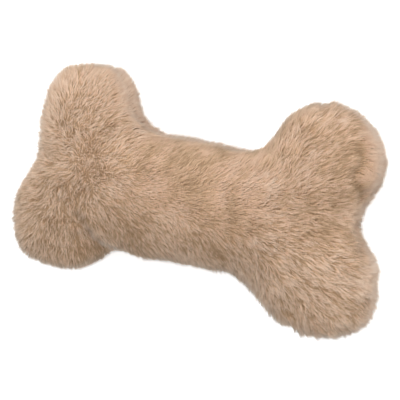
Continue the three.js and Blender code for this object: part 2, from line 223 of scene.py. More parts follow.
# %% Voxel bone
SEAM_Z = 25.5 * MM
VOXEL = 3.6 * MM
STANDING_PILE = 2.2 * MM
LYING_PILE = 1.3 * MM
SEAM_BLEND = 8 * MM
SEAM_PASSES = 2
INSIDES = [name for name in frame["nodes"] if name.startswith(("fill_", "squeaker_", "reed_"))]
bone = cad_copy("bone", "front_panel", "back_panel", *INSIDES)
voxel_remesh(bone, VOXEL)


def outer_skin(bm):
    """Keeps the connected skin that reaches farthest along the bone, and deletes those inside it."""
    left = set(bm.verts)
    skins = []
    while left:
        skin = {left.pop()}
        edge_of = list(skin)
        while edge_of:
            vert = edge_of.pop()
            for edge in vert.link_edges:
                other = edge.other_vert(vert)
                if other in left:
                    left.discard(other)
                    skin.add(other)
                    edge_of.append(other)
        skins.append(skin)
    skins.sort(key=lambda skin: max(v.co.x for v in skin), reverse=True)
    for skin in skins[1:]:
        bmesh.ops.delete(bm, geom=list(skin), context="VERTS")
    return len(skins)


def room_for_pile(vert):
    """The step in, which is shorter on the front and back, where the pile lies flat."""
    lying = abs(vert.normal.z)
    return vert.normal * -(STANDING_PILE * (1 - lying) + LYING_PILE * lying)


bm = edit(bone)
skin_count = outer_skin(bm)
relax(bm, bm.verts)
displace(bm, room_for_pile)
relax(bm, bm.verts)
beside_seam = [vert for vert in bm.verts if abs(vert.co.z - SEAM_Z) < SEAM_BLEND]
for _ in range(SEAM_PASSES):
    relax(bm, beside_seam)
finish_edit(bone, bm)
print("bone:", skin_count, "skins,", len(bone.data.vertices), "points")

# %% [markdown]
# ## Hand-packed bulges
# No two lobes of a stuffed toy are alike: the filling pushes one side out and leaves another slack. Sculpting
# gives that by hand, but a script can't brush. A short list of round bumps can do it: each has a place, a
# push and a reach in millimetres, and where they overlap they add up.

# %% Bulges
BULGES = (
    ("lower left corner", -92, -46, 4.8, 14),
    ("lower left flank", -100, -20, 2.0, 18),
    ("lower left armpit", -44, -40, -2.2, 8),
    ("left notch", -93, 4, 5.4, 13),
    ("upper left flank", -95, 31, -2.8, 9),
    ("upper left corner", -86, 50, 3.0, 9),
    ("upper left top", -60, 56, 2.2, 12),
    ("upper left armpit", -39, 41, -4.0, 11),
    ("waist, upper edge", -6, 27, 1.9, 22),
    ("waist, lower left edge", -22, -37, 2.6, 14),
    ("lower right armpit", 38, -42, 1.0, 8),
    ("lower right bottom", 62, -57, -1.2, 10),
    ("upper right armpit", 31, 32, -1.2, 9),
    ("upper right top", 54, 56, 1.7, 18),
    ("right notch", 91, 1, -4.8, 10),
    ("lower right corner", 94, -47, 4.8, 13),
)


def bump_sum(x, y, bumps):
    """Adds up round bumps at a place in millimetres."""
    return sum(
        height * math.exp(-((x - bump_x) ** 2 + (y - bump_y) ** 2) / reach**2)
        for _, bump_x, bump_y, height, reach in bumps
    )


def packing(vert):
    """The step sideways that the stuffing gives a point of the cover."""
    sideways = Vector((vert.normal.x, vert.normal.y, 0))
    return sideways * bump_sum(vert.co.x / MM, vert.co.y / MM, BULGES) * MM


bm = edit(bone)
displace(bm, packing)
finish_edit(bone, bm)
print("bulges:", len(BULGES))

# %% [markdown]
# ## Pressure
# Now the cover is blown tight. Cloth with pressure does what the stuffing does: the points along the seam are
# pinned, where the stitches hold, and the rest swells between them. A few frames are enough, and a cap on how
# far any point goes keeps the toy at its size.

# %% Swell
SEAM_BAND = 2.2 * MM
SWELL_FRAMES = 18
SWELL_CAP = 3.0 * MM
SWELL_PRESSURE = 300
POINT_MASS = 0.02
NO_MOVE = 1e-9


def swell(piece, pinned, frames, cap, pressure):
    """Blows a closed skin up against its pinned points, and caps how far a point moves."""
    group = piece.vertex_groups.new(name="pinned")
    group.add(pinned, 1.0, "REPLACE")
    start = np.array([v.co for v in piece.data.vertices])
    cloth = piece.modifiers.new("swell", "CLOTH")
    cloth.settings.use_pressure = True
    cloth.settings.uniform_pressure_force = pressure
    cloth.settings.mass = POINT_MASS
    cloth.settings.vertex_group_mass = "pinned"
    cloth.settings.effector_weights.gravity = 0
    cloth.point_cache.frame_start = 1
    cloth.point_cache.frame_end = frames
    for step in range(1, frames + 1):
        scene.frame_set(step)
    freeze(piece)
    scene.frame_set(1)
    end = np.array([v.co for v in piece.data.vertices])
    move = end - start
    length = np.linalg.norm(move, axis=1, keepdims=True)
    held = start + move * np.minimum(1.0, cap / np.maximum(length, NO_MOVE))
    piece.data.vertices.foreach_set("co", held.ravel())
    piece.data.update()
    piece.vertex_groups.clear()
    return float(np.minimum(length, cap).mean()), float(length.max())


seam_points = [v.index for v in bone.data.vertices if abs(v.co.z - SEAM_Z) < SEAM_BAND]
mean_move, most_move = swell(bone, seam_points, SWELL_FRAMES, SWELL_CAP, SWELL_PRESSURE)
print("swell: mean", round(mean_move / MM, 2), "mm, most", round(most_move / MM, 2), "mm")

# %% [markdown]
# ## Partings and folds
# In the photograph the fur parts along a few lines, where it turns over towards the seam, and the cover folds
# beside the lower left lobe. Loop cuts could follow such a line, but the even mesh has none there. So each
# line is a chain of points in millimetres with a weight, and the cover is drawn in along it, steeply on one
# side and gently on the other. The pile reads the same lines later. Vector noise lets the partings wander,
# and its seed is set, because Blender takes it from the clock otherwise.

# %% Lines on the front
PARTING_REACH = 1.8
PARTING_SPREAD = 5.5
FOLD_REACH = 2.5
FOLD_SPREAD = 7.0
WANDER = 3.0
WANDER_SCALE = 110
WANDER_SEED = 3
PARTINGS = (
    ("right side of the upper left lobe", 0.8, ((-37, 32), (-41.5, 37.5), (-47, 43), (-53, 49))),
    (
        "right end",
        1.6,
        ((88, -11), (85, -5), (84.5, 1), (86, 8), (86, 13.5), (84, 19), (81.5, 25), (82, 31), (80, 40)),
    ),
    ("lower right tip", 1.8, ((86, -50), (93, -43), (97, -32))),
)
FOLDS = (
    ("beside the lower left lobe", 0.4, ((-50, 8), (-52, -7), (-56.5, -17.5))),
    ("above the lower left armpit", 1.0, ((-56.5, -17.5), (-54.5, -21), (-51.5, -27))),
    ("lower left armpit", 2.2, ((-51.5, -27), (-47.5, -34), (-43, -36))),
)
noise.seed_set(WANDER_SEED)


def clamp(value):
    """Keeps a share between 0 and 1."""
    return min(1.0, max(0.0, value))


def smooth_step(low, high, value):
    """Goes from 0 to 1 between low and high, with soft ends."""
    share = clamp((value - low) / (high - low))
    return share * share * (3 - 2 * share)


def gap_to(here, first, second):
    """The step to a place from the nearest point of a straight run, and the run itself."""
    start, run = Vector(first), Vector(second) - Vector(first)
    share = clamp((here - start).dot(run) / run.length_squared)
    return here - start - run * share, run


def nearest(x, y, lines):
    """Distance to the nearest of some lines, how far beyond it a place lies, the way out and its weight."""
    best = (math.inf, 0.0, Vector((1, 0)), 0.0)
    for _, weight, line in lines:
        for first, second in zip(line, line[1:]):
            gap, run = gap_to(Vector((x, y)), first, second)
            out = Vector((run.y, -run.x)).normalized()
            if gap.length < best[0]:
                best = (gap.length, gap.dot(out), out, weight)
    return best


def nearest_parting(place):
    """The nearest parting, which wanders a little to either side of its line."""
    stray = noise.noise_vector(place * WANDER_SCALE) * WANDER
    return nearest(place.x / MM + stray.x, place.y / MM + stray.y, PARTINGS)


def dip(line, reach, spread):
    """How much of a dip a place takes, which is steep on the near side of a line and shallow beyond it."""
    gap, beyond, _, weight = line
    width = reach + (spread - reach) * smooth_step(-reach, reach, beyond)
    return weight * math.exp(-((gap / width) ** 2))


def fold_dip(place):
    """How much a place takes of the folds beside the lower left lobe."""
    return dip(nearest(place.x / MM, place.y / MM, FOLDS), FOLD_REACH, FOLD_SPREAD)


print("lines:", len(PARTINGS), "partings and", len(FOLDS), "folds")

# %% Draw the cover in
PARTING_DEPTH = 1.1 * MM
FOLD_DEPTH = 1.6 * MM
CREASE_RISE = 6.0 * MM
FLOOR_CLEARANCE = 0.4 * MM


def crease(vert):
    """The step in at a point of the front, which grows from nothing at the seam."""
    parting = dip(nearest_parting(vert.co), PARTING_REACH, PARTING_SPREAD)
    depth = PARTING_DEPTH * parting + FOLD_DEPTH * fold_dip(vert.co)
    return vert.normal * -depth * clamp((vert.co.z - SEAM_Z) / CREASE_RISE)


refine(bone)
bm = edit(bone)
displace(bm, crease)
for vert in bm.verts:
    vert.co.z = max(vert.co.z, FLOOR_CLEARANCE)
finish_edit(bone, bm)
print("cover:", len(bone.data.vertices), "points")

# %% [markdown]
# ## The two panels
# The swollen bone is one skin, but the real cover is two panels that meet in a seam. A cut through the seam
# plane parts them. Separating faces by hand would leave a ragged edge, and bisect_plane cuts clean through
# them. The open skins are kept, because the pile grows on them, and copies become the covers.

# %% Cut along the seam
SEAM_GAP = 0.15 * MM
SEAM_SNAP = 0.7 * MM
CUT_DISTANCE = 1e-5
FRONT, BACK = 1, -1


def half_skin(name, side):
    """One panel of the swollen bone, cut at the seam, as an open skin."""
    piece = link(name, bone.data.copy())
    bm = edit(piece)
    for vert in bm.verts:
        if abs(vert.co.z - SEAM_Z) < SEAM_SNAP:
            vert.co.z = SEAM_Z
    bmesh.ops.bisect_plane(
        bm,
        geom=bm.verts[:] + bm.edges[:] + bm.faces[:],
        dist=CUT_DISTANCE,
        plane_co=(0, 0, SEAM_Z),
        plane_no=(0, 0, side),
        clear_inner=True,
    )
    for edge in bm.edges:
        if edge.is_boundary:
            for vert in edge.verts:
                vert.co.z = SEAM_Z + side * SEAM_GAP
    finish_edit(piece, bm)
    return piece


front_skin = half_skin("front_skin", FRONT)
back_skin = half_skin("back_skin", BACK)
bpy.data.objects.remove(bone)
print("skins:", len(front_skin.data.polygons), "and", len(back_skin.data.polygons), "faces")

# %% [markdown]
# ## Seam allowance and backing
# Each panel's edge is turned inside and sewn there. An extruded rim makes this allowance: every point of the
# edge steps towards the nearest middle line of the shaft or a lobe, and a few passes of averaging keep
# neighbours side by side in the tight curves. Scaling the rim would be simpler, but a bone isn't round.
# Solidify then gives the knitted backing its thickness, with a heavier wall where the allowance is sewn.

# %% Turn in and thicken
ALLOWANCE = 6.0 * MM
RIM_PASSES = 4
BACKING = 1.2 * MM
ALLOWANCE_WALL = 2.2 * MM
SPINE = (
    ("shaft", (-42, -3), (42, -3)),
    ("upper left lobe", (-42, -3), (-67, 28)),
    ("lower left lobe", (-42, -3), (-70, -23)),
    ("upper right lobe", (42, -3), (63, 28)),
    ("lower right lobe", (42, -3), (68, -26)),
)


def towards_spine(place):
    """The level direction from a place to the nearest middle line of the shaft or a lobe."""
    gaps = [gap_to(place.xy / MM, first, second)[0] for _, first, second in SPINE]
    return -min(gaps, key=lambda gap: gap.length).normalized().to_3d()


def ways_in(rim):
    """The direction in which each point of an edge is turned, averaged along the edge."""
    inward = {vert: towards_spine(vert.co) for edge in rim for vert in edge.verts}
    for _ in range(RIM_PASSES):
        pulled = {vert: way.copy() for vert, way in inward.items()}
        for edge in rim:
            first, second = edge.verts
            pulled[first] += inward[second]
            pulled[second] += inward[first]
        inward = {vert: way.normalized() for vert, way in pulled.items()}
    return {tuple(vert.co): way for vert, way in inward.items()}


def turn_in(piece, side):
    """Extrudes the seam edge inwards."""
    bm = edit(piece)
    rim = [edge for edge in bm.edges if edge.is_boundary]
    way_at = ways_in(rim)
    turned = bmesh.ops.extrude_edge_only(bm, edges=rim)["geom"]
    for item in turned:
        if isinstance(item, bmesh.types.BMVert):
            item.co += way_at[tuple(item.co)] * ALLOWANCE
    bmesh.ops.recalc_face_normals(bm, faces=bm.faces)
    top = max(bm.faces, key=lambda face: side * face.calc_center_median().z)
    if top.normal.z * side < 0:
        bmesh.ops.reverse_faces(bm, faces=bm.faces)
    finish_edit(piece, bm)


def thicken(piece):
    """Gives the fabric its thickness on the inside."""
    wall = piece.vertex_groups.new(name="wall")
    for vert in piece.data.vertices:
        near = abs(vert.co.z - SEAM_Z) < 2 * SEAM_GAP
        wall.add([vert.index], 1.0 if near else BACKING / ALLOWANCE_WALL, "REPLACE")
    solid = piece.modifiers.new("backing", "SOLIDIFY")
    solid.thickness = ALLOWANCE_WALL
    solid.offset = -1
    solid.vertex_group = "wall"
    freeze(piece)


front_cover = link("front_cover", front_skin.data.copy())
back_cover = link("back_cover", back_skin.data.copy())
for cover, side in ((front_cover, FRONT), (back_cover, BACK)):
    turn_in(cover, side)
    thicken(cover)
print("covers:", len(front_cover.data.polygons), "and", len(back_cover.data.polygons), "faces")

# %% [markdown]
# ## Tufts
# The pile is the toy's whole look: fine fibres that cling together in pointed tufts. Blender's hair would be
# quick, but it doesn't leave the program, so each fibre is a real closed cone. A few small tufts are modelled
# once and planted thousands of times. Each point remembers how far along its fibre it lies, and on which
# side.

# %% Model a few tufts
FIBRE_LENGTH = 5.8 * MM
FIBRE_WIDTH = 0.12 * MM
FIBRE_SIDES = 3
FIBRE_MIDDLE = 0.5
LENGTH_RANGE = (0.78, 1.08)
BOW_RANGE = (0.22, 0.42)
BOW_POWER = 1.6
DROOP = 0.14
GATHER_RANGE = (-0.9, -0.45)
DRIFT = 0.09
SIDE_TURN = 0.4
FIBRES_IN_TUFT = 4
TUFT_RADIUS = 0.28 * MM
TUFT_SINK = 0.5 * MM
TUFT_KINDS = 6
dice = random.Random(7)
tuft_bin = bpy.data.collections.new("tufts")
scene.collection.children.link(tuft_bin)


def add_fibre(bm, along, side):
    """One closed three-sided fibre that leans towards +X and to the middle of its tuft."""
    cone = bmesh.ops.create_cone(bm, segments=FIBRE_SIDES, radius1=1, radius2=0, depth=1, cap_ends=True)
    length = FIBRE_LENGTH * dice.uniform(*LENGTH_RANGE)
    bow = dice.uniform(*BOW_RANGE)
    turn = dice.uniform(0, math.tau)
    reach = TUFT_RADIUS * math.sqrt(dice.random())
    angle = dice.uniform(0, math.tau)
    root = Vector((reach * math.cos(angle), reach * math.sin(angle), 0))
    gather = root * dice.uniform(*GATHER_RANGE)
    drift = Vector((0, dice.uniform(-DRIFT, DRIFT), 0)) * length
    for vert in cone["verts"]:
        at_tip = vert.co.z > 0
        share = 1.0 if at_tip else 0.0
        spoke = Vector((vert.co.x, vert.co.y, 0))
        vert[along] = share
        vert[side] = FIBRE_MIDDLE
        if not at_tip:
            vert[side] += FIBRE_MIDDLE * math.cos(math.atan2(spoke.y, spoke.x) + SIDE_TURN)
            spoke = spoke.normalized() * FIBRE_WIDTH
            spoke.rotate(Matrix.Rotation(turn, 3, "Z"))
        spine = root + gather * share + drift * share * share
        spine.x += length * bow * share**BOW_POWER
        spine.z += length * (share - DROOP * share * share)
        vert.co = spine + spoke


def tuft(kind):
    """A small clump of fibres, as an object for the planter."""
    bm = bmesh.new()
    along = bm.verts.layers.float.new("along")
    side = bm.verts.layers.float.new("side")
    for _ in range(FIBRES_IN_TUFT):
        add_fibre(bm, along, side)
    bmesh.ops.translate(bm, verts=bm.verts, vec=(0, 0, -TUFT_SINK))
    for face in bm.faces:
        face.smooth = True
    mesh = bpy.data.meshes.new("tuft_" + str(kind))
    bm.to_mesh(mesh)
    bm.free()
    piece = bpy.data.objects.new(mesh.name, mesh)
    tuft_bin.objects.link(piece)
    return len(mesh.polygons)


tuft_faces = [tuft(kind) for kind in range(TUFT_KINDS)]
print("tufts:", tuft_faces, "faces each")

# %% [markdown]
# ## The nap
# Plush is brushed. In the photograph the fur fans out from a whorl near the left end: up the two upper lobes,
# straight along the middle and down towards the lower edge. Nobody combs each fibre by hand, so a few brush
# strokes, each a place and a direction in degrees, are blended by distance into a field over the whole toy.
# The back isn't seen in the photograph, and the same strokes brush it.

# %% Brush strokes
STROKES = (
    ("upper left lobe", -66, 30, 30),
    ("upper left lobe, left side", -82, 34, 110),
    ("upper left flank", -94, 28, 165),
    ("upper left corner", -82, 54, 115),
    ("upper left tip", -62, 52, 60),
    ("left of the whorl", -76, 10, 175),
    ("left notch", -92, 4, 185),
    ("upper left armpit", -42, 36, 30),
    ("left of the waist, above", -32, 16, 38),
    ("left of the waist, below", -32, -4, -14),
    ("lower left lobe", -68, -14, -80),
    ("lower left flank", -92, -25, -130),
    ("lower left tip", -66, -44, -78),
    ("lower left armpit", -44, -24, -48),
    ("waist, upper edge", 2, 24, 58),
    ("waist, upper half", 2, 12, 38),
    ("waist, middle", 2, -2, 2),
    ("waist, lower half", 2, -18, -28),
    ("waist, lower edge", 2, -33, -46),
    ("upper right armpit", 40, 30, 62),
    ("upper right lobe", 62, 28, 42),
    ("upper right flank", 86, 26, 25),
    ("right of the waist", 45, 3, 8),
    ("right notch", 80, 4, 2),
    ("lower right armpit", 40, -38, -46),
    ("lower right lobe", 64, -26, -26),
    ("lower right tip", 74, -52, -48),
    ("lower right flank", 92, -22, -14),
)
STROKE_FALLOFF = 3.0
STROKE_SOFTNESS = 25


def brushed(x, y):
    """The direction of the nap, in the plane of the toy, at a place in millimetres."""
    total = Vector((0, 0))
    for _, stroke_x, stroke_y, degrees in STROKES:
        gap = (x - stroke_x) ** 2 + (y - stroke_y) ** 2
        pull = 1 / (gap + STROKE_SOFTNESS) ** (STROKE_FALLOFF / 2)
        total += pull * Vector((math.cos(math.radians(degrees)), math.sin(math.radians(degrees))))
    return total.normalized()


print("nap at the middle:", tuple(round(v, 2) for v in brushed(0, 0)))

# %% [markdown]
# ## Patches of tone, painted light and painted shade
# The fur isn't one even beige: it is ochre or browner on a few spots. The same bumps also paint light and
# shade. Paler fibres along the edges, at the whorl and on the shaded lower sides are painted light, and
# darker fibres in the lower left armpit and under the lower left lobe are painted shade. These could be
# painted on the mesh, but a script has no brush. So they are round bumps like the bulges, each with a place,
# a tint and a reach. Above zero the fibres are paler, and below it darker.

# %% Tone of the fibres
TONE_AND_LIGHT_PATCHES = (
    # painted light: paler where the standing pile at the whorl falls into its own shade
    ("whorl, painted light", -62, 10, 0.2, 16),
    # painted rim light along the upper left flank
    ("upper left flank, painted rim light", -94, 32, 0.5, 13),
    ("left notch, ochre", -84, 6, -0.3, 13),
    # painted light along the right edge of the upper left lobe, against the shade of its parting
    ("upper left lobe, right edge, painted light", -45, 44, 0.35, 10),
    ("lower left flank, ochre", -96, -18, -0.05, 12),
    # painted rim light along the upper right flank
    ("upper right flank, painted rim light", 92, 26, 0.05, 14),
    # painted rim light along the lower right flank
    ("lower right flank, painted rim light", 96, -19, 0.6, 11),
    # painted shade on the underside of the lower left lobe
    ("lower left lobe, underside, painted shade", -72, -52, -0.25, 14),
    # partly the fibres' brown, partly painted shade on the lower left lobe, which turns away from the light
    ("lower left lobe, brown and painted shade", -64, -26, -0.3, 20),
    # painted shadow in the lower left armpit
    ("lower left armpit, painted shadow", -53, -38.5, -1.1, 7),
    ("waist, brown left of the middle", -27, -25, -0.75, 8),
    # painted rim light along the waist's upper edge
    ("waist, upper edge, painted rim light", 0, 31, 0.12, 11),
    ("waist, upper half, ochre", 0, 12, -0.13, 26),
    ("upper right lobe, ochre", 66, 46, -0.18, 18),
    ("right notch, brown", 73, 0, -0.4, 12),
    ("lower right lobe, pale", 72, -34, 0.15, 18),
    # painted light on the shaded left edge of the lower right lobe
    ("lower right lobe, left edge, painted light", 44, -46, 0.8, 15),
    # painted light on the shaded lower edge of the waist
    ("waist, lower edge, painted light", 6, -36, 0.4, 15),
    # painted light on the shaded underside of the lower right lobe
    ("lower right lobe, underside, painted light", 72, -56, 0.3, 14),
    # painted rim light along the upper edge of the upper right lobe
    ("upper right lobe, upper edge, painted rim light", 66, 60, 0.3, 11),
    ("waist, brown right of the middle", 20, -25, -0.65, 8),
    ("upper left lobe, ochre", -62, 44, -0.05, 17),
)
print("patches:", len(TONE_AND_LIGHT_PATCHES), "and the tone at the middle", round(bump_sum(0, 0, TONE_AND_LIGHT_PATCHES), 2))

# %% [markdown]
# ## Planting the pile
# Geometry Nodes scatters points over a skin and puts a tuft on each, turned by two directions that are stored
# on the skin: where the fibre starts out, and where it is combed. Noise sways neighbours together, as fibres
# cling, and a draw for each tuft sets it apart. A loop in Python could place the tufts too, but far slower.

# %% Helpers for nodes


def node(tree, kind, inputs=(), **settings):
    """Adds a node, sets its properties, and links or sets its inputs."""
    made = tree.nodes.new(kind)
    for key, value in settings.items():
        setattr(made, key, value)
    for socket, value in inputs:
        target = made.inputs[socket]
        if isinstance(value, bpy.types.NodeSocket):
            tree.links.new(value, target)
        else:
            target.default_value = value
    return made


def number(tree, operation, first, second):
    """A sum on two numbers."""
    return node(tree, "ShaderNodeMath", [(0, first), (1, second)], operation=operation).outputs[0]


def vector(tree, operation, first, second):
    """A sum on two vectors."""
    return node(tree, "ShaderNodeVectorMath", [(0, first), (1, second)], operation=operation).outputs[0]


def scaled(tree, first, factor):
    """A vector times a number."""
    return node(tree, "ShaderNodeVectorMath", [(0, first), ("Scale", factor)], operation="SCALE").outputs[0]


def stored(tree, name, data_type="FLOAT"):
    """Reads an attribute that is stored on the skin."""
    read = node(tree, "GeometryNodeInputNamedAttribute", [("Name", name)], data_type=data_type)
    return read.outputs["Attribute"]


def random_value(tree, low, high, seed, data_type="FLOAT"):
    """A number drawn for each tuft."""
    drawn = node(tree, "FunctionNodeRandomValue", data_type=data_type)
    of_type = [socket for socket in drawn.inputs if socket.enabled]
    of_type[0].default_value = low
    of_type[1].default_value = high
    drawn.inputs["Seed"].default_value = seed
    return next(socket for socket in drawn.outputs if socket.enabled)


print("helpers for nodes ready")

# %% The planter
TUFT_SPACING = 0.46 * MM
TUFT_DENSITY = 4.0 / MM**2
SWAY = 1.7
SWAY_SCALE = 170
SWAY_DETAIL = 2.5
NOISE_MIDDLE = (0.5, 0.5, 0.5)
JITTER = 0.2
SIZE_RANGE = (0.72, 1.25)
FLECK = 0.36
SCATTER_SEED = 11
JITTER_SEED = 3
SIZE_SEED = 5
FLECK_SEED = 9
KIND_SEED = 13


def stray_step(tree):
    """How far a tuft strays: a sway that neighbours share and a jitter of its own, times the curl."""
    position = tree.nodes.new("GeometryNodeInputPosition").outputs[0]
    sway = node(
        tree,
        "ShaderNodeTexNoise",
        [("Vector", position), ("Scale", SWAY_SCALE), ("Detail", SWAY_DETAIL)],
    )
    swayed = scaled(tree, vector(tree, "SUBTRACT", sway.outputs["Color"], NOISE_MIDDLE), SWAY)
    jitter = random_value(tree, (-JITTER,) * 3, (JITTER,) * 3, JITTER_SEED, "FLOAT_VECTOR")
    return scaled(tree, vector(tree, "ADD", swayed, jitter), stored(tree, "curl"))


def planter():
    """The node group that turns a skin into pile."""
    tree = bpy.data.node_groups.new("plant_pile", "GeometryNodeTree")
    tree.interface.new_socket("Skin", in_out="INPUT", socket_type="NodeSocketGeometry")
    tree.interface.new_socket("Pile", in_out="OUTPUT", socket_type="NodeSocketGeometry")
    scatter = node(
        tree,
        "GeometryNodeDistributePointsOnFaces",
        [
            ("Mesh", tree.nodes.new("NodeGroupInput").outputs[0]),
            ("Distance Min", TUFT_SPACING),
            ("Density Max", TUFT_DENSITY),
            ("Density Factor", stored(tree, "thick")),
            ("Seed", SCATTER_SEED),
        ],
        distribute_method="POISSON",
    )
    stray = stray_step(tree)
    start = vector(tree, "ADD", stored(tree, "start", "FLOAT_VECTOR"), stray)
    comb = vector(tree, "ADD", stored(tree, "comb", "FLOAT_VECTOR"), stray)
    turn = node(
        tree,
        "FunctionNodeAxesToRotation",
        [("Primary Axis", start), ("Secondary Axis", comb)],
        primary_axis="Z",
        secondary_axis="X",
    )
    size = number(tree, "MULTIPLY", stored(tree, "pile"), random_value(tree, *SIZE_RANGE, SIZE_SEED))
    fleck = number(tree, "MULTIPLY", stored(tree, "mottle"), random_value(tree, -FLECK, FLECK, FLECK_SEED))
    tone = number(tree, "ADD", stored(tree, "shade"), fleck)
    toned = node(
        tree,
        "GeometryNodeStoreNamedAttribute",
        [("Geometry", scatter.outputs["Points"]), ("Name", "tone"), ("Value", tone)],
        data_type="FLOAT",
        domain="POINT",
    )
    kinds = node(
        tree, "GeometryNodeCollectionInfo", [("Collection", tuft_bin), ("Separate Children", True)]
    )
    plant = node(
        tree,
        "GeometryNodeInstanceOnPoints",
        [
            ("Points", toned.outputs[0]),
            ("Instance", kinds.outputs[0]),
            ("Pick Instance", True),
            ("Instance Index", random_value(tree, 0, TUFT_KINDS - 1, KIND_SEED, "INT")),
            ("Rotation", turn.outputs[0]),
            ("Scale", size),
        ],
    )
    real = node(tree, "GeometryNodeRealizeInstances", [("Geometry", plant.outputs[0])])
    tree.links.new(real.outputs[0], tree.nodes.new("NodeGroupOutput").inputs[0])
    return tree


plant_pile = planter()
print("planter:", len(plant_pile.nodes), "nodes")

# %% [markdown]
# ## How the pile lies
# On the toy the pile stands up at the whorl, at the left end and along the edge, turns over and lies sleek
# beyond a parting, and opens in a groove along it. Vertex groups could hold each of these shares, but there
# are many, so they are worked out for each point: every share goes from 0 to 1 over a distance in
# millimetres, and a table of weights says what it does to the pile's lean, length, curl and tone.

# %% Lay of the front
LEAN = math.radians(46)
SLEEK_LEAN = math.radians(40)
WHORL = Vector((-60, 5))
WHORL_STANDS = (3, 24)
WHORL_CURLS = (8, 42)
WHORL_MOTTLES = (12, 50)
LEFT_END = (32, 58)
RIGHT_END = (10, 70)
LOBES = (30, 60)
LOWER_HALF = (0, -30)
FRONT_EDGE = (0.5, 7)
GROOVE_REACH = 2.8
GROOVE_BREAKS = 140
GROOVE_DEPTH = 0.65
GROOVE_CHANGE = 0.7
PARTING_SOFT = 5
PARTING_FADES = (14, 22)
SLEEK_MOTTLE_LOSS = 0.7
LEAN_LOSS = {"standing": 0.65, "left_end": 0.35, "edge": 0.2, "groove": 0.3}
FRONT_PILE = {"all": 0.92, "right_end": 0.2, "edge": -0.04, "standing": -0.1, "full_groove": -0.35}
# Tone weights: edge and over paint a paler rim light, and groove and fold paint shade in the parting's groove
# and in the folds; left_end makes the left end paler.
FRONT_TONE_AND_PAINTED_LIGHT = {"left_end": 0.16, "over": 0.15, "edge": 0.35, "groove": -0.5, "fold": -0.2}
FRONT_CURL = {"all": 0.75, "low": 0.3, "lobes": 0.35, "curly": 0.9, "sleek": -0.4}
FRONT_MOTTLE = {"all": 0.6, "low": 2.6, "lobes": 0.8, "mottled": 1.2}


def weigh(weights, shares):
    """Adds up shares by their weights."""
    return sum(weight * shares[name] for name, weight in weights.items())


def lay_front(vert):
    """The lay of the pile at a point of the front."""
    place = vert.co
    x, y = place.x / MM, place.y / MM
    gap, beyond, out, weight = nearest_parting(place)
    firm = min(1.0, weight)
    soft = PARTING_SOFT * (2 - firm)
    over = smooth_step(-soft, soft, beyond) * (1 - smooth_step(*PARTING_FADES, gap))
    broken = GROOVE_DEPTH + GROOVE_CHANGE * noise.noise(place * GROOVE_BREAKS)
    groove = weight * broken * math.exp(-((gap / GROOVE_REACH) ** 2))
    to_whorl = (Vector((x, y)) - WHORL).length
    shares = {
        "all": 1.0,
        "over": over,
        "sleek": over * (1 - firm),
        "groove": groove,
        "full_groove": min(1.0, groove),
        "fold": fold_dip(place),
        "standing": 1 - smooth_step(*WHORL_STANDS, to_whorl),
        "curly": 1 - smooth_step(*WHORL_CURLS, to_whorl),
        "mottled": 1 - smooth_step(*WHORL_MOTTLES, to_whorl),
        "left_end": smooth_step(*LEFT_END, -x),
        "right_end": smooth_step(*RIGHT_END, x),
        "lobes": smooth_step(*LOBES, abs(x)),
        "low": smooth_step(*LOWER_HALF, y),
        "edge": 1 - smooth_step(*FRONT_EDGE, (place.z - SEAM_Z) / MM),
    }
    lean = LEAN
    for name, loss in LEAN_LOSS.items():
        lean *= 1 - loss * shares[name]
    flow = brushed(x, y) * (1 - over) + out * over
    return {
        "flow": flow.to_3d(),
        "lean": lean * (1 - over) + SLEEK_LEAN * over,
        "pile": weigh(FRONT_PILE, shares),
        "tone": bump_sum(x, y, TONE_AND_LIGHT_PATCHES) + weigh(FRONT_TONE_AND_PAINTED_LIGHT, shares),
        "curl": weigh(FRONT_CURL, shares),
        "mottle": weigh(FRONT_MOTTLE, shares) * (1 - SLEEK_MOTTLE_LOSS * over),
        "thick": 1.0,
    }


print("front: shares weigh on lean, length, tone, curl and mottle")

# %% [markdown]
# ## The lay of the back
# The back's pile points outwards beside the seam, so that it frames the front, and is pressed flat and thin
# where the toy lies on it. It could be a mirror of the front, but then the partings of the photograph would
# come twice.

# %% Lay of the back
EDGE_LEAN = math.radians(24)
FLOOR_LEAN = math.radians(66)
OUTWARD = 0.9
BACK_EDGE = (-14, -2)
UNDERSIDE = (0.35, 0.9)
BACK_PILE = {"all": 0.96, "edge": 0.06, "under": -0.06}
# Painted rim light: the back's fibres are paler beside the seam.
BACK_PAINTED_RIM_LIGHT = {"edge": 0.35}
BACK_THICK = {"all": 1.0, "under": -0.65}
BACK_CURL = 0.9
BACK_MOTTLE = 1.0


def lay_back(vert):
    """The lay of the pile at a point of the back."""
    place, normal = vert.co, vert.normal
    x, y = place.x / MM, place.y / MM
    edge = smooth_step(*BACK_EDGE, (place.z - SEAM_Z) / MM)
    under = smooth_step(*UNDERSIDE, -normal.z)
    shares = {"all": 1.0, "edge": edge, "under": under}
    lying = LEAN * (1 - under) + FLOOR_LEAN * under
    return {
        "flow": brushed(x, y).to_3d() + Vector((normal.x, normal.y, 0)) * OUTWARD * edge,
        "lean": EDGE_LEAN * edge + lying * (1 - edge),
        "pile": weigh(BACK_PILE, shares),
        "tone": weigh(BACK_PAINTED_RIM_LIGHT, shares) + bump_sum(x, y, TONE_AND_LIGHT_PATCHES),
        "curl": BACK_CURL,
        "mottle": BACK_MOTTLE,
        "thick": weigh(BACK_THICK, shares),
    }


print("back: outwards at the seam, flat underneath")

# %% [markdown]
# ## Storing the lay
# The nodes can't ask Python anything, so what they need is written on the skin as attributes, one value for
# each point. Where the nap runs straight into a steep side, the fibre stands up more, which makes the fringe.

# %% Attributes on the skins
MIDDLE_SHADE = 0.5
CLOUDS = ((0.3, 45), (0.35, 130))
STEEP_LEAN = 0.25
NO_FLOW = 1e-4
VECTORS = ("start", "comb", "ground")
NUMBERS = ("shade", "pile", "curl", "mottle", "thick")


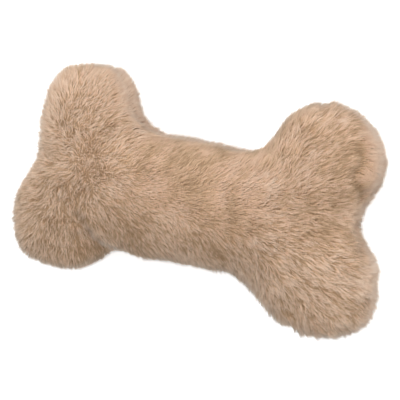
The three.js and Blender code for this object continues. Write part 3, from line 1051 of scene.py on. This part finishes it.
def store_lay(skin, lay):
    """Writes the attributes that the planter reads."""
    mesh = skin.data
    rows = {name: [] for name in VECTORS + NUMBERS}
    for vert in mesh.vertices:
        normal = vert.normal
        here = lay(vert)
        comb = here["flow"] - normal * here["flow"].dot(normal)
        lean = here["lean"] * (STEEP_LEAN + (1 - STEEP_LEAN) * min(1.0, comb.length))
        comb = comb.normalized() if comb.length > NO_FLOW else normal.orthogonal()
        here["start"] = normal * math.cos(lean) + comb * math.sin(lean)
        here["comb"] = comb
        here["ground"] = normal.copy()
        clouds = sum(height * noise.noise(vert.co * scale) for height, scale in CLOUDS)
        # The shade is the fibres' tone, and through the patches and tone weights it also holds painted light
        # and shade.
        here["shade"] = MIDDLE_SHADE + here["tone"] + clouds
        for name, values in rows.items():
            values.append(here[name])
    for name, values in rows.items():
        kind, key = ("FLOAT_VECTOR", "vector") if name in VECTORS else ("FLOAT", "value")
        attribute = mesh.attributes.new(name, kind, "POINT")
        attribute.data.foreach_set(key, np.array(values, float).ravel())


store_lay(front_skin, lay_front)
store_lay(back_skin, lay_back)
print("lay stored on", len(front_skin.data.vertices), "and", len(back_skin.data.vertices), "points")

# %% [markdown]
# ## Colour map and shading of the fibres
# A planted zone becomes a plain mesh of closed fibres. Unwrapping a million faces would be no use, so its UV
# map is written: U is the tuft's tone and V runs from root to tip. The shading normals are turned towards the
# skin, because light soaks through real pile and doesn't show the dark side of every fibre.

# %% Fibre map and soft shading
TONE_MARGIN = 0.05
FIBRE_TONE_WIDTH = 0.02
TIP_MARGIN = 0.02
GROUND_SHARE = 0.78
NO_LENGTH = 1e-6
FIBRE_MARKS = ("tone", "along", "side")


def fibre_map(mesh):
    """A UV map whose U is the tuft's tone and whose V runs from root to tip."""
    read = {}
    for name in FIBRE_MARKS:
        read[name] = np.zeros(len(mesh.vertices))
        mesh.attributes[name].data.foreach_get("value", read[name])
        mesh.attributes.remove(mesh.attributes[name])
    tone = np.clip(read["tone"], 0, 1) * (1 - 2 * TONE_MARGIN) + TONE_MARGIN
    u = tone + (read["side"] - FIBRE_MIDDLE) * FIBRE_TONE_WIDTH
    v = TIP_MARGIN + (1 - 2 * TIP_MARGIN) * read["along"]
    corners = np.zeros(len(mesh.loops), int)
    mesh.loops.foreach_get("vertex_index", corners)
    layer = mesh.uv_layers.new(name="OFBake")
    layer.data.foreach_set("uv", np.column_stack((u[corners], v[corners])).ravel())


def soften(mesh):
    """Turns the fibres' shading normals towards the skin that they grow on."""
    count = len(mesh.vertices) * 3
    ground = np.zeros(count)
    mesh.attributes["ground"].data.foreach_get("vector", ground)
    own = np.zeros(count)
    mesh.vertex_normals.foreach_get("vector", own)
    mixed = (GROUND_SHARE * ground + (1 - GROUND_SHARE) * own).reshape(-1, 3)
    mixed /= np.maximum(np.linalg.norm(mixed, axis=1, keepdims=True), NO_LENGTH)
    mesh.normals_split_custom_set_from_vertices(mixed)
    mesh.attributes.remove(mesh.attributes["ground"])


print("fibre map and shading ready")

# %% [markdown]
# ## Zone by zone
# One mesh of all the fibres would be too heavy to handle, so each panel is planted in six zones: two at the
# waist and one on each lobe. Cutting a finished pile apart would cut fibres, so the skin is cut before it is
# planted. Fibres under the toy are pressed flat on the floor.

# %% Plant it
WAIST_END = 43
LOBE_SPLIT = 4.5
ZONES = {
    "waist_left": lambda x, y: -WAIST_END <= x <= 0,
    "waist_right": lambda x, y: 0 < x <= WAIST_END,
    "upper_right": lambda x, y: x > WAIST_END and y > LOBE_SPLIT,
    "upper_left": lambda x, y: x < -WAIST_END and y > LOBE_SPLIT,
    "lower_left": lambda x, y: x < -WAIST_END and y <= LOBE_SPLIT,
    "lower_right": lambda x, y: x > WAIST_END and y <= LOBE_SPLIT,
}


def zone_skin(name, skin, inside):
    """The part of a skin that lies in one zone."""
    piece = link(name, skin.data.copy())
    bm = edit(piece)
    middles = {face: face.calc_center_median() / MM for face in bm.faces}
    others = [face for face, mid in middles.items() if not inside(mid.x, mid.y)]
    bmesh.ops.delete(bm, geom=others, context="FACES")
    finish_edit(piece, bm)
    return piece


def plant(name, skin, inside):
    """Grows the pile of one zone as a plain mesh of closed fibres."""
    piece = zone_skin(name, skin, inside)
    grow = piece.modifiers.new("grow", "NODES")
    grow.node_group = plant_pile
    freeze(piece)
    fibre_map(piece.data)
    places = np.zeros(len(piece.data.vertices) * 3)
    piece.data.vertices.foreach_get("co", places)
    places[2::3] = np.maximum(places[2::3], FLOOR_CLEARANCE)
    piece.data.vertices.foreach_set("co", places)
    piece.data.update()
    soften(piece.data)
    return piece


front_pile = [plant("pile_front_" + zone, front_skin, inside) for zone, inside in ZONES.items()]
back_pile = [plant("pile_back_" + zone, back_skin, inside) for zone, inside in ZONES.items()]
for spare in [front_skin, back_skin] + list(tuft_bin.objects):
    bpy.data.objects.remove(spare)
bpy.data.collections.remove(tuft_bin)
for piece in front_pile + back_pile:
    piece.data.calc_loop_triangles()
    print(piece.name, len(piece.data.loop_triangles), "triangles")

# %% [markdown]
# ## Helpers for finishes
# Every finish starts from a Principled shader. A value that is the same all over stands on the shader's own
# socket, and what varies comes from a texture through a colour ramp. Image textures would need a file, so
# all patterns are procedural. They read Object coordinates, which stay with a piece wherever it moves.

# %% Shader, ramp, texture and bump
MIX_FIRST, MIX_SECOND, MIX_RESULT = 6, 7, 2
FULL = 1.0
WAVE_DETAIL = 2.0


def new_material(name, **sockets):
    """A material with its Principled shader, and values for the shader's sockets."""
    made = bpy.data.materials.new(name)
    made.use_nodes = True
    shader = made.node_tree.nodes["Principled BSDF"]
    for socket, value in sockets.items():
        shader.inputs[socket.replace("_", " ")].default_value = value
    return made, made.node_tree, shader


def ramp(tree, source, *stops):
    """A colour ramp over a value."""
    made = tree.nodes.new("ShaderNodeValToRGB")
    tree.links.new(source, made.inputs["Fac"])
    bar = made.color_ramp
    while len(bar.elements) < len(stops):
        bar.elements.new(0.5)
    for element, (place, colour) in zip(bar.elements, stops):
        element.position = place
        element.color = colour
    return made.outputs["Color"]


def grey(value):
    """A grey as a colour."""
    return (value, value, value, 1)


def multiply(tree, first, second):
    """Two colours multiplied."""
    made = node(
        tree,
        "ShaderNodeMix",
        [(MIX_FIRST, first), (MIX_SECOND, second)],
        data_type="RGBA",
        blend_type="MULTIPLY",
    )
    made.inputs["Factor"].default_value = FULL
    return made.outputs[MIX_RESULT]


def object_place(tree):
    """The place on the piece that a texture reads."""
    return node(tree, "ShaderNodeTexCoord").outputs["Object"]


def clouds_on(tree, place, scale, detail, distortion=0.0):
    """Cloudy noise."""
    settings = [("Vector", place), ("Scale", scale), ("Detail", detail), ("Distortion", distortion)]
    return node(tree, "ShaderNodeTexNoise", settings).outputs["Fac"]


def stripes_on(tree, place, scale, distortion, detail=WAVE_DETAIL):
    """Wavy stripes."""
    settings = [("Vector", place), ("Scale", scale), ("Distortion", distortion), ("Detail", detail)]
    return node(tree, "ShaderNodeTexWave", settings).outputs["Fac"]


def add_bump(tree, shader, height, strength, distance):
    """Raises the grain of a finish."""
    bump = node(
        tree, "ShaderNodeBump", [("Height", height), ("Strength", strength), ("Distance", distance)]
    )
    tree.links.new(bump.outputs["Normal"], shader.inputs["Normal"])


def dress(piece, finish):
    """Gives a piece one finish."""
    piece.data.materials.clear()
    piece.data.materials.append(finish)


print("helpers for finishes ready")

# %% [markdown]
# ## The fur's finish
# Beige fibres, each tuft a slightly different shade. Towards the root the colour is darkened: painted shade
# for the shadow deep in the pile, so the fibres are paler at the tip. The hair shader would need real hair
# curves, so this is a rough surface with sheen. The colour comes only from the fibre map, so it follows every
# fibre whichever way it bends.

# %% Fur material
FUR_DEEP = (0.53, 0.35, 0.21, 1)
FUR_OCHRE = (0.80, 0.565, 0.372, 1)
FUR_MIDDLE = (0.895, 0.615, 0.438, 1)
FUR_PALE = (0.96, 0.74, 0.575, 1)
# Painted shade towards the roots, for the shadow deep in the pile
ROOT_PAINTED_SHADOW = (0.42, 0.28, 0.17, 1)
ROOT_PAINTED_HALF_SHADE = (0.86, 0.77, 0.68, 1)
fur, tree, shader = new_material(
    "beige_faux_fur",
    Roughness=0.62,
    Specular_IOR_Level=0.25,
    Sheen_Weight=0.7,
    Sheen_Roughness=0.4,
    Sheen_Tint=(0.95, 0.9, 0.82, 1),
)
fibre_uv = node(tree, "ShaderNodeUVMap", uv_map="OFBake").outputs["UV"]
marks = node(tree, "ShaderNodeSeparateXYZ", [("Vector", fibre_uv)]).outputs
tone_colour = ramp(
    tree, marks["X"], (0.05, FUR_DEEP), (0.3, FUR_OCHRE), (0.55, FUR_MIDDLE), (0.95, FUR_PALE)
)
# painted shade: every fibre is darker towards its root
painted_root_shade = ramp(tree, marks["Y"], (0.0, ROOT_PAINTED_SHADOW), (0.3, ROOT_PAINTED_HALF_SHADE), (0.7, grey(1.0)))
tree.links.new(multiply(tree, tone_colour, painted_root_shade), shader.inputs["Base Color"])
for piece in front_pile + back_pile:
    dress(piece, fur)
print("fur on", len(front_pile + back_pile), "pieces")

# %% [markdown]
# ## The knitted backing
# Under the pile is a knitted ground fabric of the same beige hue. It shows only in the depth between tufts,
# and it is darker: partly the knit's own colour, partly painted shade for that depth. It has fine ribs.
# Modelled loops would be lost there, so a wave texture with a bump makes the ribs. Object coordinates carry
# them, because the fabric has no UV map.

# %% Backing material
# The knit's colours, darkened partly by painted shade for the depth under the pile
KNIT_DARK_AND_PAINTED_SHADE = (0.42, 0.27, 0.16, 1)
KNIT_LIGHT_AND_PAINTED_SHADE = (0.52, 0.345, 0.21, 1)
backing, tree, shader = new_material("knitted_backing", Roughness=0.9)
place = object_place(tree)
ribs = stripes_on(tree, place, scale=260, distortion=2.0, detail=1)
blotches = clouds_on(tree, place, scale=90, detail=3)
knit = ramp(tree, ribs, (0.1, KNIT_DARK_AND_PAINTED_SHADE), (0.9, KNIT_LIGHT_AND_PAINTED_SHADE))
wear = ramp(tree, blotches, (0.3, grey(0.8)), (0.7, grey(1.0)))
tree.links.new(multiply(tree, knit, wear), shader.inputs["Base Color"])
add_bump(tree, shader, ribs, strength=0.4, distance=0.4 * MM)
for cover in (front_cover, back_cover):
    dress(cover, backing)
print("backing on two covers")

# %% [markdown]
# ## Riding on the squeezed bodies
# When the toy is pressed, its front comes down by 12 mm and the seam stays where it is. An armature could
# bend it, but a imported body only slides. So the front pieces ride on the front body, each with a mesh of
# its own.

# %% Covers and pile on their bodies
for piece in [front_cover] + front_pile:
    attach(piece, "front_half")
    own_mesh(piece)
for piece in [back_cover] + back_pile:
    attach(piece, "back_half")
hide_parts("front_panel")
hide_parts("back_panel")

# %% [markdown]
# ## The stuffing
# Six wads of polyester fibre fill the covers: one in each lobe and two in the waist, hollowed for the
# squeaker. Each starts from its CAD solid, remeshed and drawn in so that it stays clear of the backing, and
# gets the lumps that hand-packed fibre has. Noise along the normals does this without another simulation.

# %% Wads
WAD_VOXEL = 3.0 * MM
WAD_INSET = 2.4 * MM
WAD_EVEN_OUT = 0.4
LUMP = 0.9 * MM
LUMP_SCALE = 85
LUMP_ROUGHNESS = 0.8
LUMP_LACUNARITY = 2.0
LUMP_OCTAVES = 3


def lump_step(vert):
    """The step in, less where a lump stands out."""
    lump = noise.fractal(vert.co * LUMP_SCALE, LUMP_ROUGHNESS, LUMP_LACUNARITY, LUMP_OCTAVES)
    return vert.normal * (LUMP * max(-1.0, min(1.0, lump)) - WAD_INSET)


def wad(node_name):
    """A lumpy wad of fibre in the space of its CAD solid."""
    piece = cad_copy(node_name.replace("fill_", "wad_"), node_name)
    voxel_remesh(piece, WAD_VOXEL)
    bm = edit(piece)
    relax(bm, bm.verts)
    displace(bm, lump_step)
    relax(bm, bm.verts, WAD_EVEN_OUT)
    finish_edit(piece, bm)
    refine(piece)
    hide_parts(node_name)
    return piece


LOBE_NAMES = ("upper_right", "upper_left", "lower_left", "lower_right")
lobe_wads = [wad("fill_lobe_" + name) for name in LOBE_NAMES]
shaft_wads = [wad("fill_shaft_front"), wad("fill_shaft_back")]
print("wads:", [len(piece.data.polygons) for piece in lobe_wads + shaft_wads], "faces")

# %% [markdown]
# ## The stuffing's finish
# Polyester fibre is a dull white web of fine strands. Real strands would add thousands of faces that nobody
# sees, so noise that is drawn out along one direction gives the wisps, and broader noise paints grey shade as
# in the web's hollows.

# %% Fibre finish of the wads
STRAND_GREY = (0.66, 0.65, 0.62, 1)
STRAND_WHITE = (0.9, 0.89, 0.87, 1)
STRAND_STRETCH = (1.0, 0.3, 0.5)
fibre_fill, tree, shader = new_material("polyester_fibre", Roughness=0.95, Sheen_Weight=0.4)
place = object_place(tree)
drawn = node(tree, "ShaderNodeMapping", [("Vector", place), ("Scale", STRAND_STRETCH)])
wisps = clouds_on(tree, drawn.outputs[0], scale=900, detail=5, distortion=1.6)
# painted shade: broad grey clouds stand for the shade in the web's hollows
hollow_shade_noise = clouds_on(tree, place, scale=70, detail=2)
strand = ramp(tree, wisps, (0.3, STRAND_GREY), (0.65, STRAND_WHITE))
cloud = ramp(tree, hollow_shade_noise, (0.3, grey(0.86)), (0.7, grey(1.0)))
tree.links.new(multiply(tree, strand, cloud), shader.inputs["Base Color"])
add_bump(tree, shader, wisps, strength=0.6, distance=0.6 * MM)
for piece in lobe_wads + shaft_wads:
    dress(piece, fibre_fill)
print("fibre on", len(lobe_wads + shaft_wads), "wads")

# %% [markdown]
# ## Stuffing under pressure
# When the front comes down, the lobes' wads stay on the back body, while the front wad of the waist rides
# down with the front body. The wad behind the squeaker keeps its form.

# %% Wads on their bodies
for piece in lobe_wads:
    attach(piece, "back_half")
    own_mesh(piece)
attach(shaft_wads[0], "front_half")
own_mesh(shaft_wads[0])
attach(shaft_wads[1], "back_half")

# %% [markdown]
# ## The squeaker
# A soft blown bladder in two halves, welded at a flange, with a reed plug in its neck. It could be lathed
# with a Screw modifier, but the spin operator is as short: a profile is drawn once as a chain of edges, and
# the spin carries it round the axis. Both halves have two moulded rings, and the upper one rides on the
# bladder's own body when the toy is pressed.

# %% Bladder profile
BLADDER_RADIUS = 16.0
BLADDER_HEIGHT = 11.5
BLADDER_WALL = 1.0
BLADDER_CORNER = 5.0
CORNER_STEP = 15
CORNER_POINTS = 7
FLANGE_RADIUS = 18.5
FLANGE_HALF = 0.75
FLANGE_BEVEL = 0.2
MOUTH_GAP = 0.15
NECK_RADIUS = 5.8
RING_DEPTH = 0.35
RING_EDGES = (
    (7.2, 0),
    (7.5, RING_DEPTH),
    (8.1, RING_DEPTH),
    (8.4, 0),
    (9.3, 0),
    (9.6, RING_DEPTH),
    (10.2, RING_DEPTH),
)


def bladder_corner(radius):
    """The rounded shoulder of the bladder, from its top to its side."""
    turns = [math.radians(90 - CORNER_STEP * step) for step in range(CORNER_POINTS)]
    centre_r, centre_z = BLADDER_RADIUS - BLADDER_CORNER, BLADDER_HEIGHT - BLADDER_CORNER
    return [(centre_r + radius * math.cos(t), centre_z + radius * math.sin(t)) for t in turns]


def bladder_profile(neck):
    """The half-section of one bladder half, from the neck over the wall to the flange and back inside."""
    rings = [(radius, BLADDER_HEIGHT - drop) for radius, drop in RING_EDGES]
    outside = [(neck, BLADDER_HEIGHT)] + rings + bladder_corner(BLADDER_CORNER)
    flange = [
        (BLADDER_RADIUS, FLANGE_HALF),
        (FLANGE_RADIUS - FLANGE_BEVEL, FLANGE_HALF),
        (FLANGE_RADIUS, FLANGE_HALF - FLANGE_BEVEL),
    ]
    mouth = [(FLANGE_RADIUS, MOUTH_GAP), (BLADDER_RADIUS - BLADDER_WALL, MOUTH_GAP)]
    inside = bladder_corner(BLADDER_CORNER - BLADDER_WALL)[::-1]
    return outside + flange + mouth + inside + [(neck, BLADDER_HEIGHT - BLADDER_WALL)]


print("profile:", len(bladder_profile(0)), "points")

# %% Bladder halves
SQUEAKER_AXIS = Vector((0, -4.55, 25.5)) * MM
SPIN_STEPS = 64
SPIN_MERGE = 1e-7


def spun(name, profile, side):
    """A closed profile carried round the squeaker's axis."""
    bm = bmesh.new()
    chain = [bm.verts.new((r * MM, 0, side * z * MM)) for r, z in profile]
    for first, second in zip(chain, chain[1:]):
        bm.edges.new((first, second))
    if profile[0][0] > 0:
        bm.edges.new((chain[-1], chain[0]))
    bmesh.ops.spin(
        bm,
        geom=bm.verts[:] + bm.edges[:],
        cent=(0, 0, 0),
        axis=(0, 0, 1),
        angle=math.tau,
        steps=SPIN_STEPS,
        use_merge=True,
    )
    bmesh.ops.remove_doubles(bm, verts=bm.verts, dist=SPIN_MERGE)
    bmesh.ops.recalc_face_normals(bm, faces=bm.faces)
    bmesh.ops.translate(bm, verts=bm.verts, vec=SQUEAKER_AXIS)
    piece = link(name, bpy.data.meshes.new(name))
    finish_edit(piece, bm)
    return piece


bladder_top = spun("bladder_top", bladder_profile(0), FRONT)
bladder_bottom = spun("bladder_bottom", bladder_profile(NECK_RADIUS), BACK)
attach(bladder_top, "bladder")
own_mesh(bladder_top)
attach(bladder_bottom, "back_half")
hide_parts("squeaker_bladder_top")
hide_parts("squeaker_bladder_bottom")
print("bladder:", len(bladder_top.data.polygons), "and", len(bladder_bottom.data.polygons), "faces")

# %% [markdown]
# ## Moulded plastics
# The bladder is soft milky vinyl with a fine grain, and the reed parts are hard white plastic with faint
# marks of its flow into the mould. One flat colour would look like neither, so a noise clouds the colour and
# the gloss together.

# %% Vinyl and reed plastic


def moulded(name, colours, glosses, **noise_settings):
    """A moulded plastic whose colour and gloss cloud a little."""
    made, tree, shader = new_material(name)
    clouds = clouds_on(tree, object_place(tree), **noise_settings)
    tint = ramp(tree, clouds, (0.3, colours[0]), (0.7, colours[1]))
    gloss = ramp(tree, clouds, (0.3, grey(glosses[0])), (0.7, grey(glosses[1])))
    tree.links.new(tint, shader.inputs["Base Color"])
    tree.links.new(gloss, shader.inputs["Roughness"])
    return made, tree, shader


VINYL_COLOURS = ((0.74, 0.74, 0.70, 1), (0.86, 0.86, 0.83, 1))
PLASTIC_COLOURS = ((0.84, 0.83, 0.78, 1), (0.92, 0.92, 0.88, 1))
soft_vinyl, tree, shader = moulded("soft_vinyl", VINYL_COLOURS, (0.32, 0.46), scale=120, detail=4)
peel = clouds_on(tree, object_place(tree), scale=1500, detail=2)
add_bump(tree, shader, peel, strength=0.15, distance=0.2 * MM)
for piece in (bladder_top, bladder_bottom):
    dress(piece, soft_vinyl)
hard_white, _, _ = moulded(
    "moulded_reed_plastic", PLASTIC_COLOURS, (0.22, 0.34), scale=260, detail=3, distortion=0.6
)
print("vinyl on two halves")

# %% [markdown]
# ## Sewing thread
# The seam and the closing stitch are spun polyester in a darker beige. Twisted plies could be modelled, but
# the threads lie hidden in the fur, so slanted stripes with a bump stand for the twist. The threads and the
# reed parts keep their CAD solids and only get a finish.

# %% Thread, and the finish of the solids
THREAD_DARK = (0.30, 0.21, 0.145, 1)
THREAD_LIGHT = (0.46, 0.335, 0.24, 1)
PLY_SLANT = (0.4, 0.3, 0.9)
sewing, tree, shader = new_material("spun_polyester_thread", Roughness=0.7)
slant = node(tree, "ShaderNodeMapping", [("Vector", object_place(tree)), ("Rotation", PLY_SLANT)])
plies = stripes_on(tree, slant.outputs[0], scale=900, distortion=1.0)
twist = ramp(tree, plies, (0.2, THREAD_DARK), (0.8, THREAD_LIGHT))
tree.links.new(twist, shader.inputs["Base Color"])
add_bump(tree, shader, plies, strength=0.5, distance=0.2 * MM)
FINISHES = {
    "reed_plug": hard_white,
    "reed_bed": hard_white,
    "reed_tongue": hard_white,
    "reed_clip": hard_white,
    "seam_needle_thread": sewing,
    "seam_bobbin_thread": sewing,
    "closing_stitch": sewing,
}
for name, finish in FINISHES.items():
    dress(frame["nodes"][name], finish)
print("finishes on", len(FINISHES), "solids")

# %% [markdown]
# ## Floor
# The toy lies on a white floor. Enough light to make paper white would bleach the fur, so the floor answers
# camera rays with extra white of its own. The ground then reads as white while the toy's own light stays at a
# plain level and its shadow is kept.

# %% Stage
FLOOR_SIZE = 3.0
FLOOR_GLOW = 0.62
bm = bmesh.new()
bmesh.ops.create_grid(bm, x_segments=1, y_segments=1, size=FLOOR_SIZE / 2)
floor = link("floor", bpy.data.meshes.new("floor"))
finish_edit(floor, bm)
paper, tree, shader = new_material(
    "white_floor",
    Base_Color=grey(0.82),
    Roughness=0.9,
    Specular_IOR_Level=0.0,
    Emission_Color=grey(1.0),
)
rays = node(tree, "ShaderNodeLightPath").outputs
seen = number(tree, "MAXIMUM", rays["Is Camera Ray"], rays["Is Glossy Ray"])
through = number(tree, "MAXIMUM", seen, rays["Is Transmission Ray"])
glow = number(tree, "MULTIPLY", through, FLOOR_GLOW)
tree.links.new(glow, shader.inputs["Emission Strength"])
dress(floor, paper)
print("floor:", FLOOR_SIZE, "m")

# %% [markdown]
# ## Light
# In the photograph the upper edges are bright and the lower ones grey, so the main light is a large soft box
# above the long side. Spots or a sun would draw hard shadows in the fur. Two smaller boxes fill the ends, and
# the white world fills the rest.

# %% Lamps and world
LAMPS = (
    ("key", (0.2, 0.9, 0.95), 1.5, 13.4),
    ("left_fill", (-1.0, 0.1, 0.62), 0.8, 3.2),
    ("right_fill", (1.0, -0.25, 0.6), 0.6, 2.8),
)
LAMP_AIM = Vector((0, 0, 0.02))
WORLD_STRENGTH = 0.68


def soft_box(name, place, size, watts):
    """A square area lamp that faces the toy."""
    data = bpy.data.lights.new(name, "AREA")
    data.shape = "SQUARE"
    data.size = size
    data.energy = watts
    lamp = bpy.data.objects.new(name, data)
    scene.collection.objects.link(lamp)
    lamp.location = place
    lamp.rotation_euler = (LAMP_AIM - Vector(place)).to_track_quat("-Z", "Y").to_euler()


for lamp_values in LAMPS:
    soft_box(*lamp_values)
scene.world = bpy.data.worlds.new("studio")
scene.world.use_nodes = True
sky = scene.world.node_tree.nodes["Background"]
sky.inputs["Color"].default_value = grey(1.0)
sky.inputs["Strength"].default_value = WORLD_STRENGTH
print("lamps:", len(LAMPS))
